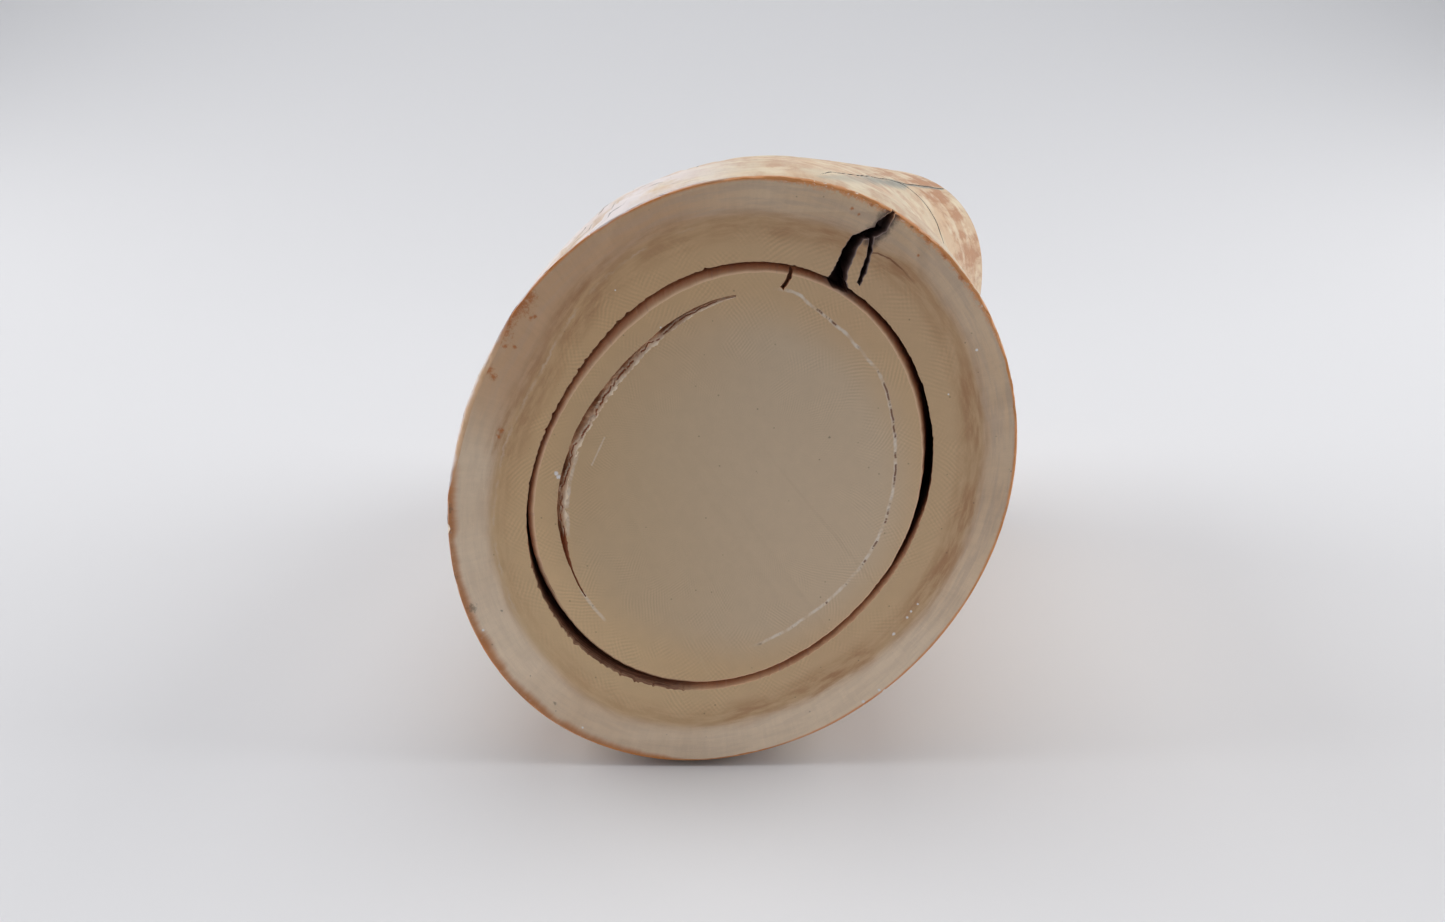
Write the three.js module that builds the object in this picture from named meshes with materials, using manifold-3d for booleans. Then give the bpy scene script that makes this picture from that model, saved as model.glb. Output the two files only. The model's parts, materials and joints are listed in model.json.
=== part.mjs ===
// A sawn length of mammoth tusk lying on its side, in millimetres, +Z up.
// The near saw cut is an upright plane that faces -Y. Behind it the tusk runs away and bends to the right.
// The origin is the middle of the footprint, on the surface that the tusk rests on.
import * as THREE from "three";
import { mergeVertices } from "three/addons/utils/BufferGeometryUtils.js";
import Module from "manifold-3d";

const wasm = await Module();
wasm.setup();

const degrees = THREE.MathUtils.degToRad;

// Driving dimensions of the tusk
const LENGTH = 150; // along the middle line, from saw cut to saw cut
const LONG_HALF = 43.1; // half of the sawn oval's long axis
const SHORT_HALF = 37.2;
const LEAN = degrees(57.5); // the long axis from +X, at the near cut
const TWIST = degrees(30.5); // how far the oval turns on its way to the far cut
const TURN = degrees(31); // heading of the far cut, from +Y towards +X
const TURN_POWER = 1.75; // the bend gathers towards the far end
const SWELL = 0.045; // share by which the oval is larger behind the near cut
const SWELL_LENGTH = 20;
const FAR_SHRINK = 0.003; // share that the oval loses again by the far cut
const FAR_CORNERS = 3.45; // how square the oval has become at the far cut
const FAR_CORNERS_AT = degrees(45);
const FAR_LOBES = 0.25;
const FAR_LOBES_AT = degrees(40);
const CUT_LOBES = 0.25; // three low lobes in the outline of the near cut
const CUT_LOBES_AT = degrees(-7);
const SAGGED = 0.15; // the lowest strip is worn flat by this much
const LIFT = 0.9; // the near cut's rim hangs this far over the surface
const LIFT_LENGTH = 35; // and from here on the tusk rests on it
const AROUND = 88; // facets around the tusk
const STATIONS = 30; // facets along it

// Outer skin
const FLUTES = 0.28; // low ridges along the tusk
const GROWTH_WAVES = 0.2; // low rings around it
const GROWTH_PITCH = 12.5;
const BARK_STEP = 0.9; // ledge where the outer bark has flaked off
const FLAKED_AT = degrees(150); // most of it is gone on the left side
const SKIN_START = 5; // the relief rises over this length behind each cut
const POLISHED_AT = degrees(50); // the upper right side is worn smooth

// Ring crack: an oval gap whose walls open like a cone away from the cut
const RING_LONG_HALF = 30.9;
const RING_SHORT_HALF = 25.5;
const RING_LEAN = degrees(58.8);
const RING_WIDTH = 1.25;
const RING_DEPTH = 40;
const RING_FLARE = Math.tan(degrees(10.5));

// Inner crack: wide and shallow on the left, healed on the right
const INNER_MEAN = 23.8;
const INNER_WAVES = [
  { size: 0.38, times: 1, at: 71 },
  { size: 2.7, times: 2, at: 59.5 },
  { size: 0.4, times: 3, at: -37.5 },
  { size: 0.39, times: 4, at: -20 },
];
const INNER_HAIRLINE = 0.3;
const INNER_WIDE = 1.5;
const INNER_WIDE_AT = degrees(148);
const INNER_WIDE_REACH = degrees(42);
const INNER_DEPTH = 1.2;

const BONE = { color: 0xd8c29a, roughness: 0.55, metalness: 0 };

// Heading of the middle line at a distance along it.
function headingAt(along) {
  return TURN * (Math.max(along, 0) / LENGTH) ** TURN_POWER;
}

// A point of the middle line, summed in short straight steps from the near cut.
function middleAt(along) {
  const steps = 40;
  const step = along / steps;
  let x = 0;
  let y = 0;
  for (let i = 0; i < steps; i++) {
    const heading = headingAt((i + 0.5) * step);
    x += Math.sin(heading) * step;
    y += Math.cos(heading) * step;
  }
  return [x, y];
}

// Carries a point of the straight tusk to its place on the bent one.
function bend(across, along, up) {
  const heading = headingAt(along);
  const [x, y] = middleAt(along);
  return [x + across * Math.cos(heading), y - across * Math.sin(heading), up];
}

function ovalRadius(angle, long, short, lean) {
  const turn = angle - lean;
  return (long * short) / Math.hypot(short * Math.cos(turn), long * Math.sin(turn));
}

// Smooth radius of the section, from its middle, at an angle from +X.
function sectionRadius(angle, along) {
  const share = Math.min(Math.max(along / LENGTH, 0), 1) ** 1.5;
  const size = 1 + SWELL * (1 - Math.exp(-along / SWELL_LENGTH)) - FAR_SHRINK * share;
  const oval = ovalRadius(angle, LONG_HALF * size, SHORT_HALF * size, LEAN + TWIST * share);
  const corners = FAR_CORNERS * Math.cos(4 * (angle - FAR_CORNERS_AT));
  const lobes = FAR_LOBES * Math.cos(3 * (angle - FAR_LOBES_AT));
  const cutLobes = CUT_LOBES * Math.cos(3 * (angle - CUT_LOBES_AT));
  return oval + cutLobes + share * (corners + lobes);
}

// Height of the section's middle. Its lowest strip touches the surface, but rises off it near the cut.
function middleHeight(along) {
  let lowest = 0;
  for (let angle = Math.PI; angle < 2 * Math.PI; angle += degrees(2)) {
    lowest = Math.min(lowest, sectionRadius(angle, along) * Math.sin(angle));
  }
  return -lowest - SAGGED + LIFT * (1 - THREE.MathUtils.smoothstep(along, 0, LIFT_LENGTH));
}

// Depth of bark that has flaked off: patches with stepped edges, most of them on the left.
function barkLoss(angle, along) {
  const leftSide = Math.max(0, Math.cos(angle - FLAKED_AT));
  const slanted = Math.sin(3 * angle + along / 17) + Math.sin(along / 9.5 - 2 * angle);
  return BARK_STEP * THREE.MathUtils.smoothstep(slanted + 1.4 * leftSide, 1.1, 1.5);
}

function skinRelief(angle, along) {
  const flutes = FLUTES * (Math.sin(7 * angle + along / 40) + 0.6 * Math.sin(13 * angle + 1.3));
  const slanted = along + 3 * Math.sin(2 * angle);
  const waves = GROWTH_WAVES * Math.sin((2 * Math.PI * slanted) / GROWTH_PITCH);
  const rise = THREE.MathUtils.smoothstep(along, 0, SKIN_START);
  const fall = THREE.MathUtils.smoothstep(LENGTH - along, 0, SKIN_START);
  const polished = THREE.MathUtils.smoothstep(Math.cos(angle - POLISHED_AT), 0.3, 0.8);
  return (flutes + waves - barkLoss(angle, along)) * rise * fall * (1 - 0.8 * polished);
}

// Moves every vertex by a function of its own place.
function reshape(geometry, place) {
  const position = geometry.getAttribute("position");
  for (let i = 0; i < position.count; i++) {
    position.setXYZ(i, ...place(position.getX(i), position.getY(i), position.getZ(i)));
  }
  return geometry;
}

function toSolid(geometry) {
  geometry.deleteAttribute("normal");
  geometry.deleteAttribute("uv");
  const merged = mergeVertices(geometry, 1e-4);
  return new wasm.Manifold(
    new wasm.Mesh({
      numProp: 3,
      vertProperties: new Float32Array(merged.getAttribute("position").array),
      triVerts: new Uint32Array(merged.getIndex().array),
    }),
  );
}

function toGeometry(solid) {
  const mesh = solid.getMesh();
  const geometry = new THREE.BufferGeometry();
  geometry.setAttribute("position", new THREE.BufferAttribute(mesh.vertProperties, 3));
  geometry.setIndex(new THREE.BufferAttribute(mesh.triVerts, 1));
  return geometry;
}

// The tusk before it is bent: a cylinder along Y whose rings take the section's outline.
function straightTusk() {
  const cylinder = new THREE.CylinderGeometry(1, 1, LENGTH, AROUND, STATIONS);
  return reshape(cylinder, (x, y, z) => {
    const along = y + LENGTH / 2;
    const share = Math.hypot(x, z);
    const angle = Math.atan2(z, x);
    const radius = share * (sectionRadius(angle, along) + skinRelief(angle, along));
    const up = middleHeight(along) + radius * Math.sin(angle);
    return [radius * Math.cos(angle), along, Math.max(up, 0)];
  });
}

// A closed ring-shaped cutter. Its profile runs over side (1 inner wall, 2 outer wall) and depth.
// The place function turns side share, angle and depth into a radius and a depth.
function ringCutter(profile, segments, place) {
  const points = profile.map(([side, depth]) => new THREE.Vector2(side, depth));
  return reshape(new THREE.LatheGeometry(points, segments), (x, y, z) => {
    const angle = Math.atan2(z, x);
    const [radius, depth] = place(Math.hypot(x, z) - 1, angle, y);
    return [radius * Math.cos(angle), depth, middleHeight(0) + radius * Math.sin(angle)];
  });
}

function ringMiddle(angle) {
  const oval = ovalRadius(angle, RING_LONG_HALF, RING_SHORT_HALF, RING_LEAN);
  return oval + 0.26 * Math.cos(3 * (angle + degrees(28))) + 0.2 * Math.cos(4 * angle);
}

function ringWidth(angle) {
  const twofold = 0.19 * Math.cos(2 * (angle - degrees(61)));
  const threefold = 0.24 * Math.cos(3 * (angle + degrees(4)));
  return RING_WIDTH + twofold + threefold + 0.13 * Math.cos(4 * (angle - degrees(27)));
}

function ringCrack() {
  const profile = [
    [1, -1],
    [2, -1],
    [2, 0.4 * RING_DEPTH],
    [1.7, 0.8 * RING_DEPTH],
    [1.5, RING_DEPTH],
    [1.3, 0.8 * RING_DEPTH],
    [1, 0.4 * RING_DEPTH],
    [1, -1],
  ];
  return ringCutter(profile, 80, (side, angle, depth) => {
    const flare = RING_FLARE * Math.max(depth, 0);
    return [ringMiddle(angle) + (side - 0.5) * ringWidth(angle) + flare, depth];
  });
}

function innerMiddle(angle) {
  const waves = INNER_WAVES.map(({ size, times, at }) => size * Math.cos(times * (angle - degrees(at))));
  return waves.reduce((radius, wave) => radius + wave, INNER_MEAN);
}

// Share of the full width, from 0 where the crack closes to 1 in the middle of the groove.
function innerWideness(angle) {
  const turned = THREE.MathUtils.euclideanModulo(angle - INNER_WIDE_AT + Math.PI, 2 * Math.PI) - Math.PI;
  return Math.exp(-((turned / INNER_WIDE_REACH) ** 4));
}

// The crack is open on the left. On the right the cutter stays in front of the face.
function innerCrack() {
  const openFrom = degrees(87);
  const openTo = degrees(219);
  const profile = [
    [1, -1],
    [2, -1],
    [1.7, 1],
    [1.3, 1],
    [1, -1],
  ];
  return ringCutter(profile, 72, (side, angle, depth) => {
    const wide = innerWideness(angle);
    const width = INNER_HAIRLINE + (INNER_WIDE - INNER_HAIRLINE) * wide;
    const turned = THREE.MathUtils.euclideanModulo(angle, 2 * Math.PI);
    const open = turned > openFrom && turned < openTo;
    const reach = open ? 0.3 + (INNER_DEPTH - 0.3) * wide : -0.5;
    return [innerMiddle(angle) + (side - 0.5) * width, depth > 0 ? reach : depth];
  });
}

// A crack with a traced outline, cut straight in from the face. Points are from the face's middle.
function outlineCrack(outline, depth) {
  const shape = new THREE.Shape(outline.map(([across, up]) => new THREE.Vector2(across, up)));
  const block = new THREE.ExtrudeGeometry(shape, { depth: depth + 1, bevelEnabled: false });
  return reshape(block, (x, y, z) => [x, depth - z, middleHeight(0) + y]);
}

// The radial crack runs from the ring crack to the rim, and shallows before it gets there.
function radialCracks() {
  const nearRing = [
    [13.0, 28.4],
    [13.6, 27.5],
    [15.6, 26.6],
    [15.4, 28.1],
    [15.5, 29.2],
    [16.2, 31.0],
    [16.9, 32.6],
    [17.6, 33.5],
    [19.4, 33.9],
    [20.5, 34.6],
    [19.4, 36.0],
    [18.9, 35.1],
    [17.5, 34.6],
    [16.1, 34.0],
    [14.9, 32.3],
    [14.0, 30.1],
  ];
  const nearRim = [
    [20.4, 34.5],
    [21.0, 35.6],
    [22.0, 37.6],
    [21.2, 38.2],
    [20.2, 36.4],
    [19.3, 35.8],
  ];
  const branch = [
    [17.2, 27.5],
    [17.8, 29.0],
    [18.4, 31.0],
    [18.9, 33.9],
    [18.2, 33.8],
    [17.9, 31.2],
    [17.3, 29.4],
    [16.8, 27.9],
  ];
  const fissure = [
    [7.0, 26.6],
    [7.7, 27.6],
    [8.4, 28.7],
    [8.6, 31.0],
    [8.0, 31.0],
    [7.9, 28.9],
    [7.3, 27.9],
    [6.6, 26.9],
  ];
  return [
    outlineCrack(nearRing, 16),
    outlineCrack(nearRim, 2.5),
    outlineCrack(branch, 9),
    outlineCrack(fissure, 3),
  ];
}

// A narrow groove in the outer skin: a three-sided bar that follows a path over the straight tusk.
// The path turns a share from 0 to 1 into an angle and a distance along.
function skinCrack(path, halfWidth, depth, steps) {
  const proud = 0.5;
  const nudge = 0.01;
  const bar = new THREE.CylinderGeometry(1, 1, 1, 3, steps);
  return reshape(bar, (x, y, z) => {
    const [angle, along] = path(y + 0.5);
    const [nextAngle, nextAlong] = path(y + 0.5 + nudge);
    const radius = sectionRadius(angle, along) + skinRelief(angle, along);
    const heading = new THREE.Vector2((nextAngle - angle) * radius, nextAlong - along).normalize();
    const aside = (halfWidth * x) / Math.sin(degrees(60));
    const out = radius + proud - ((z + 0.5) * (depth + proud)) / 1.5;
    const turned = angle + (aside * heading.y) / radius;
    const shifted = along - aside * heading.x;
    return [out * Math.cos(turned), shifted, middleHeight(along) + out * Math.sin(turned)];
  });
}

// A smooth path over the skin through places given as degrees from +X and distance along.
function skinPath(places) {
  const curve = new THREE.SplineCurve(places.map(([at, along]) => new THREE.Vector2(degrees(at), along)));
  return (t) => curve.getPoint(t).toArray();
}

// A long drying crack runs down the top towards the right shoulder of the far cut.
function longSkinCrack() {
  const places = [
    [73.5, 6],
    [65, 34],
    [60.5, 72],
    [57, 110],
    [54, 152],
  ];
  return skinCrack(skinPath(places), 0.45, 0.8, 26);
}

// A second crack leaves it sideways and goes down the right side, around the tusk.
function sideSkinCrack() {
  const places = [
    [55.8, 112.5],
    [46, 113],
    [38, 107],
    [20, 103],
    [-4, 104],
  ];
  return skinCrack(skinPath(places), 0.35, 0.6, 16);
}

// Small chips where the saw broke the rim.
function rimChips() {
  const chips = [
    { at: 43, size: 0.8 },
    { at: 50, size: 1.0 },
    { at: 54, size: 1.3 },
    { at: 57.5, size: 0.9 },
    { at: 66, size: 1.1 },
    { at: 71, size: 0.9 },
    { at: 189, size: 1.4 },
  ];
  return chips.map(({ at, size }) => {
    const angle = degrees(at);
    const radius = sectionRadius(angle, 0) + 0.35 * size;
    const chip = new THREE.IcosahedronGeometry(size, 0);
    chip.rotateY(angle);
    const up = middleHeight(0) + radius * Math.sin(angle);
    return chip.translate(radius * Math.cos(angle), -0.1 * size, up);
  });
}

function crackedTusk() {
  const cutters = [ringCrack(), innerCrack(), ...radialCracks()];
  cutters.push(longSkinCrack(), sideSkinCrack(), ...rimChips());
  return cutters.reduce((tusk, cutter) => tusk.subtract(toSolid(cutter)), toSolid(straightTusk()));
}

function tuskSection() {
  const geometry = reshape(toGeometry(crackedTusk()), bend);
  geometry.computeVertexNormals();
  geometry.computeBoundingBox();
  const footprint = geometry.boundingBox.getCenter(new THREE.Vector3());
  const mesh = new THREE.Mesh(geometry, new THREE.MeshStandardMaterial(BONE));
  mesh.name = "tusk_section";
  mesh.position.set(-footprint.x, -footprint.y, 0);
  return mesh;
}

const tusk = new THREE.Group();
tusk.add(tuskSection());

export default tusk;
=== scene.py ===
import json
import math
from functools import partialmethod

import bmesh
import bpy
import numpy as np
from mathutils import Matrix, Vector, noise


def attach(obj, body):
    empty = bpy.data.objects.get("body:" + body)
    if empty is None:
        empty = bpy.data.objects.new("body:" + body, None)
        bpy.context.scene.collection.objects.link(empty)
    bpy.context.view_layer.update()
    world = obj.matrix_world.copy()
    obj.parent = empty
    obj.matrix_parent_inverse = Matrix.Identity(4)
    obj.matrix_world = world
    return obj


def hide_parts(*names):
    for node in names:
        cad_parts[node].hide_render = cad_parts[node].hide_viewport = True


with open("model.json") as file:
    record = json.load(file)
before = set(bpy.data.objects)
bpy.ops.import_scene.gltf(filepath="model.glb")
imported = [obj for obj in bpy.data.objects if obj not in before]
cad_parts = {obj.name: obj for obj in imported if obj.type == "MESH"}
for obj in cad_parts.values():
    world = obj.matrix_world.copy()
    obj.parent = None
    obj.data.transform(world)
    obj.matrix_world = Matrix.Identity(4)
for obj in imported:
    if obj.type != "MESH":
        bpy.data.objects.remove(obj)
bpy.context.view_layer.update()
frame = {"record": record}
print("frame loaded")

mm = 0.001
rad = math.radians

# The tusk is shaped straight, in millimetres (across, along, up), and bent at the end.
tusk = {
    "length": 150.0,  # along the middle line, from saw cut to saw cut
    "longHalf": 43.1,
    "shortHalf": 37.2,
    "lean": rad(57.5),  # long axis of the sawn oval, from +X
    "twist": rad(30.5),
    "turn": rad(31),  # heading of the far cut
    "turnPower": 1.75,
    "swell": 0.045,
    "swellLength": 20.0,
    "farShrink": 0.003,
    "farCorners": 3.45,
    "farCornersAt": rad(45),
    "farLobes": 0.25,
    "farLobesAt": rad(40),
    "cutLobes": 0.25,
    "cutLobesAt": rad(-7),
    "sagged": 0.15,  # the lowest strip is worn flat by this much
    "lift": 0.9,  # the near rim hangs this far over the floor
    "liftLength": 35.0,  # and from here on the tusk rests on it
    "around": 440,
    "step": 1.08,  # between rings of the skin
    "endSteps": (0, 0.22, 0.7, 1.5, 2.2),  # closer rings by the saw cuts
    "edgeBreak": 0.2,  # the sawn edge is rubbed down by about this much
    "paleEdge": 0.9,  # and by this much more on the left
    "paleEdgeAt": rad(161),
    "lowEdge": 0.25,  # and a little at its foot
    "lowEdgeAt": rad(262),
    "topEdge": 0.2,  # and raggedly at the top right
    "topEdgeAt": rad(52),
}

skin = {
    "flutes": 0.28,
    "growthWaves": 0.2,
    "growthPitch": 12.5,
    "barkStep": 0.9,  # ledge where the outer bark has flaked off
    "flakedAt": rad(150),
    "skinStart": 5.0,  # the relief fades out towards the saw cuts
    "fineStart": 1.2,
    "layersAt": rad(165),
    "polishedAt": rad(50),
    "striae": 0.11,  # fine lengthwise ridges
    "grain": 0.05,
    "layer": 0.32,  # height of one thin layer on the flaky side
}

ring = {
    "longHalf": 30.9,
    "shortHalf": 25.5,
    "lean": rad(58.8),
    "width": 1.25,
    "depth": 40.0,
    "flare": math.tan(rad(10.5)),
    "segments": 720,
    "lip": 0.18,  # the inner edge is rubbed round
    "outerLip": 0.03,
    "lipDepth": 0.15,
    "wallRelief": 0.07,
    "tear": 0.16,  # of the outer edge, and more low on the left
    "lowTear": 0.24,
    "lowTearAt": rad(232),
    "outerNicks": (
        96, 103, 113, 119.8, 123, 127.2, 130.5, 133.7, 137.4, 141, 144, 148.3, 153.3, 156.7, 162,
        166.1, 173.5, 179.1, 203, 208.5, 212, 216, 221, 224, 227, 230.5, 233, 237, 241, 245, 249
    ),
    "innerNicks": (38.5, 17.5, 325.5),
    "nickDepth": 0.3,
    "nickReach": rad(1.1),
    # share of the gap that slanting shelves take, on the core's side and then on the outer side;
    # places around the face in degrees
    "shelfAt": (0, 20, 45, 70, 95, 112, 150, 186, 200, 214, 228, 360),
    "shelves": (0.1, 0.25, 0.32, 0.42, 0.56, 0.7, 0.76, 0.82, 0.6, 0.3, 0.1, 0.1),
    "outerShelfAt": (0, 200, 212, 226, 242, 255, 320, 335, 346, 356, 360),
    "outerShelves": (0, 0, 0.1, 0.25, 0.45, 0.75, 0.85, 0.55, 0.3, 0, 0),
    "shelfDepth": 1.9,
}

inner = {
    "mean": 23.8,
    "waves": ((0.38, 1, rad(71)), (2.7, 2, rad(59.5)), (0.4, 3, rad(-37.5)), (0.39, 4, rad(-20))),
    "segments": 900,
    # the gap is open from 88 to 218 degrees; the rest is a healed line
    "openFrom": rad(88),
    "openTo": rad(218.5),
    # width of the gap around the face, in degrees and millimetres
    "widthAt": (86, 95, 111, 118, 127, 142, 150, 160, 168, 181, 191, 197, 206, 209, 212, 219),
    "widths": (0.2, 0.7, 1.15, 1.05, 1.4, 1.46, 1.6, 1.5, 1.2, 1.3, 1.25, 0.9, 0.5, 0.2, 0.3, 0.16),
    "tear": 0.3,  # of its inner edge
    "outerTear": 0.07,
    "bed": 0.22,  # roughness of its floor
    "wideDepth": 0.95,
    "hairDepth": 0.2,
}

slots = ("cutFace", "farCut", "bark", "crackWall", "crust", "freshChip", "greyCrack")


def smoothStep(value, low, high):
    share = np.clip((value - low) / (high - low), 0, 1)
    return share * share * (3 - 2 * share)


def fractal(x, y, z, octaves=3):
    # layered noise at each point, from about -1 to 1
    x, y, z = np.broadcast_arrays(x, y, z)
    points = np.stack((x, y, z), -1).reshape(-1, 3)
    values = [noise.fractal(Vector(point), 1.0, 2.0, octaves) for point in points]
    return np.array(values).reshape(x.shape)


def relief(scale, angle, along, octaves=3):
    # the same noise, round the tusk and along it
    return fractal(scale * np.cos(angle), along, scale * np.sin(angle), octaves)


def facing(angle, at, low, high):
    # 1 on the side at this angle, 0 away from it
    return smoothStep(np.cos(angle - at), low, high)


def ovalRadius(angle, longHalf, shortHalf, lean):
    turned = angle - lean
    return longHalf * shortHalf / np.hypot(shortHalf * np.cos(turned), longHalf * np.sin(turned))


def sectionRadius(angle, along):
    share = np.clip(along / tusk["length"], 0, 1) ** 1.5
    size = 1 + tusk["swell"] * (1 - np.exp(-along / tusk["swellLength"])) - tusk["farShrink"] * share
    lean = tusk["lean"] + tusk["twist"] * share
    oval = ovalRadius(angle, tusk["longHalf"] * size, tusk["shortHalf"] * size, lean)
    corners = tusk["farCorners"] * np.cos(4 * (angle - tusk["farCornersAt"]))
    lobes = tusk["farLobes"] * np.cos(3 * (angle - tusk["farLobesAt"]))
    cutLobes = tusk["cutLobes"] * np.cos(3 * (angle - tusk["cutLobesAt"]))
    return oval + cutLobes + share * (corners + lobes)


# The middle line, walked in short steps, and the height of the middle over the floor.
walkStep = 0.25
walk = np.arange(-4, tusk["length"] + 4, walkStep)
headings = tusk["turn"] * (np.clip(walk, 0, None) / tusk["length"]) ** tusk["turnPower"]
walkX = np.concatenate(([0], np.cumsum(np.sin((headings[1:] + headings[:-1]) / 2) * walkStep)))
walkY = np.concatenate(([0], np.cumsum(np.cos((headings[1:] + headings[:-1]) / 2) * walkStep))) + walk[0]
lowAngles = np.radians(np.arange(180, 360, 2))
lowest = np.min(sectionRadius(lowAngles, np.clip(walk, 0, None)[:, None]) * np.sin(lowAngles), axis=1)
middles = -lowest - tusk["sagged"] + tusk["lift"] * (1 - smoothStep(walk, 0, tusk["liftLength"]))


def middleHeight(along):
    return np.interp(along, walk, middles)


def bend(points, start):
    # carries points of the straight tusk to their place on the bent one, in metres
    across, along, up = points.T
    heading = np.interp(along, walk, headings)
    x = np.interp(along, walk, walkX) + across * np.cos(heading)
    y = np.interp(along, walk, walkY) - across * np.sin(heading)
    return np.stack((x * mm + start[0], y * mm + start[1], up * mm), -1)


def barkLoss(angle, along):
    # depth of bark gone, in two ragged ledges
    leftSide = np.clip(np.cos(angle - skin["flakedAt"]), 0, None)
    slanted = np.sin(3 * angle + along / 17) + np.sin(along / 9.5 - 2 * angle) + 1.4 * leftSide
    ragged = relief(3, angle, along / 14, 4)
    edge = slanted + 0.45 * ragged
    return skin["barkStep"] * (0.5 * smoothStep(edge, 1.12, 1.2) + 0.5 * smoothStep(edge, 1.42, 1.52))


def layerField(angle, along):
    # each whole number is the edge of one thin layer; close to the saw cut the edges run with the rim
    ragged = relief(2.6, angle, along / 22, 4)
    return 1.7 * ragged + 2.3 * np.sqrt(np.clip(along, 0, None) + 0.5) + 1.2 * np.sin(2 * angle)


def thinLayers(angle, along):
    field = layerField(angle, along)
    through = field - np.floor(field)
    return skin["layer"] * (through / 0.8 - smoothStep(through, 0.8, 1.0) - 0.6 - 0.25 * through)


def polishedShare(angle):
    return facing(angle, skin["polishedAt"], 0.3, 0.8)


def clearOfCuts(along, start):
    return smoothStep(along, 0, start) * smoothStep(tusk["length"] - along, 0, start)


def skinRelief(angle, along):
    flutes = skin["flutes"] * (np.sin(7 * angle + along / 40) + 0.6 * np.sin(13 * angle + 1.3))
    slanted = along + 3 * np.sin(2 * angle)
    waves = skin["growthWaves"] * np.sin(2 * np.pi * slanted / skin["growthPitch"])
    polished = polishedShare(angle)
    broad = (flutes + waves - barkLoss(angle, along)) * (1 - 0.8 * polished)
    striae = skin["striae"] * relief(11, angle, along / 26)
    grain = skin["grain"] * relief(16, angle, along / 2.4)
    flaky = facing(angle, skin["layersAt"], -0.35, 0.5)
    fine = (striae + grain) * (1 - 0.6 * polished) + 0.6 * flaky * thinLayers(angle, along)
    broad = broad * clearOfCuts(along, skin["skinStart"])
    return broad + np.clip(fine, -0.8, 0.3) * clearOfCuts(along, skin["fineStart"])


def skinRadius(angle, along):
    return sectionRadius(angle, along) + skinRelief(angle, along)


finishes = []  # the seven materials, in the order of slots; body and cutters all carry them


def dress(mesh):
    for material in finishes:
        mesh.materials.append(material)


def linked(name, data):
    built = bpy.data.objects.new(name, data)
    bpy.context.scene.collection.objects.link(built)
    return built


def quads(rows, count, rowsClosed=False, countClosed=True):
    # faces between neighbouring rows of points
    faces = []
    for j in range(rows if rowsClosed else rows - 1):
        a, b = j * count, (j + 1) % rows * count
        for i in range(count if countClosed else count - 1):
            k = (i + 1) % count
            faces.append((a + i, a + k, b + k, b + i))
    return faces


def tube(rows, count):
    # a closed loop of points in each row, with a lid on both ends
    lids = [tuple(range(count)), tuple((rows - 1) * count + i for i in range(count))]
    return quads(rows, count) + lids


def newObject(name, points, faces, material):
    mesh = bpy.data.meshes.new(name)
    dress(mesh)
    mesh.from_pydata(points.tolist(), [], faces)
    shape = bmesh.new()
    shape.from_mesh(mesh)
    bmesh.ops.recalc_face_normals(shape, faces=shape.faces)
    for face in shape.faces:
        face.material_index = slots.index(material)
    shape.to_mesh(mesh)
    shape.free()
    return linked(name, mesh)


def straightTusk():
    around = tusk["around"]
    angles = np.arange(around) * 2 * np.pi / around
    length = tusk["length"]
    start = np.array(tusk["endSteps"])
    count = round((length - 6) / tusk["step"])
    stations = np.concatenate((start, np.linspace(3, length - 3, count), length - start[::-1]))
    grid, along = np.meshgrid(angles, stations)
    radius = skinRadius(grid, along)
    rubbed = tusk["edgeBreak"] * (1 + 0.8 * relief(9, angles, 0))
    paleEdge = tusk["paleEdge"] * facing(angles, tusk["paleEdgeAt"], 0.93, 0.99)
    lowEdge = tusk["lowEdge"] * facing(angles, tusk["lowEdgeAt"], 0.86, 0.98)
    torn = np.clip(0.7 + 1.2 * relief(30, angles, 5), 0.1, 1.5)
    topEdge = tusk["topEdge"] * torn * facing(angles, tusk["topEdgeAt"], 0.72, 0.9)
    radius[0] -= rubbed + paleEdge + lowEdge + topEdge
    radius[1] -= 0.6 * (paleEdge + lowEdge) + 0.55 * topEdge
    radius[2] -= 0.2 * (paleEdge + lowEdge) + 0.1 * topEdge
    radius[-1] -= rubbed[::-1]
    up = np.clip(middleHeight(along) + radius * np.sin(grid), 0, None)
    points = np.stack((radius * np.cos(grid), along, up), -1).reshape(-1, 3)
    body = newObject("tuskSection", points, tube(len(stations), around), "bark")
    for polygon in body.data.polygons:
        if len(polygon.vertices) > 4:
            near = body.data.vertices[polygon.vertices[0]].co.y < 1
            polygon.material_index = slots.index("cutFace" if near else "farCut")
    return body


def ringCutter(name, loop, segments, place, material):
    # a ring whose section is a closed loop of (side, depth) pairs
    angles = (np.arange(segments) * 2 * np.pi / segments)[:, None]
    side = np.array([pair[0] for pair in loop])[None, :]
    depth = np.array([pair[1] for pair in loop])[None, :]
    radius, depth = place(angles, side, depth)
    up = middleHeight(0) + radius * np.sin(angles)
    points = np.stack(np.broadcast_arrays(radius * np.cos(angles), depth, up), -1).reshape(-1, 3)
    return newObject(name, points, quads(segments, len(loop), rowsClosed=True), material)


def nicks(angles, places, reach):
    # sharp little notches at the given places, in degrees
    cut = np.zeros_like(angles)
    for number, place in enumerate(places):
        away = (angles - rad(place) + np.pi) % (2 * np.pi) - np.pi
        lopsided = np.where(away > 0, away / 0.35, -away)
        cut += (0.6 + 0.4 * math.sin(5 * number)) * np.clip(1 - lopsided / reach, 0, None)
    return cut


def ringMiddle(angles):
    oval = ovalRadius(angles, ring["longHalf"], ring["shortHalf"], ring["lean"])
    return oval + 0.26 * np.cos(3 * (angles + rad(28))) + 0.2 * np.cos(4 * angles)


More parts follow.
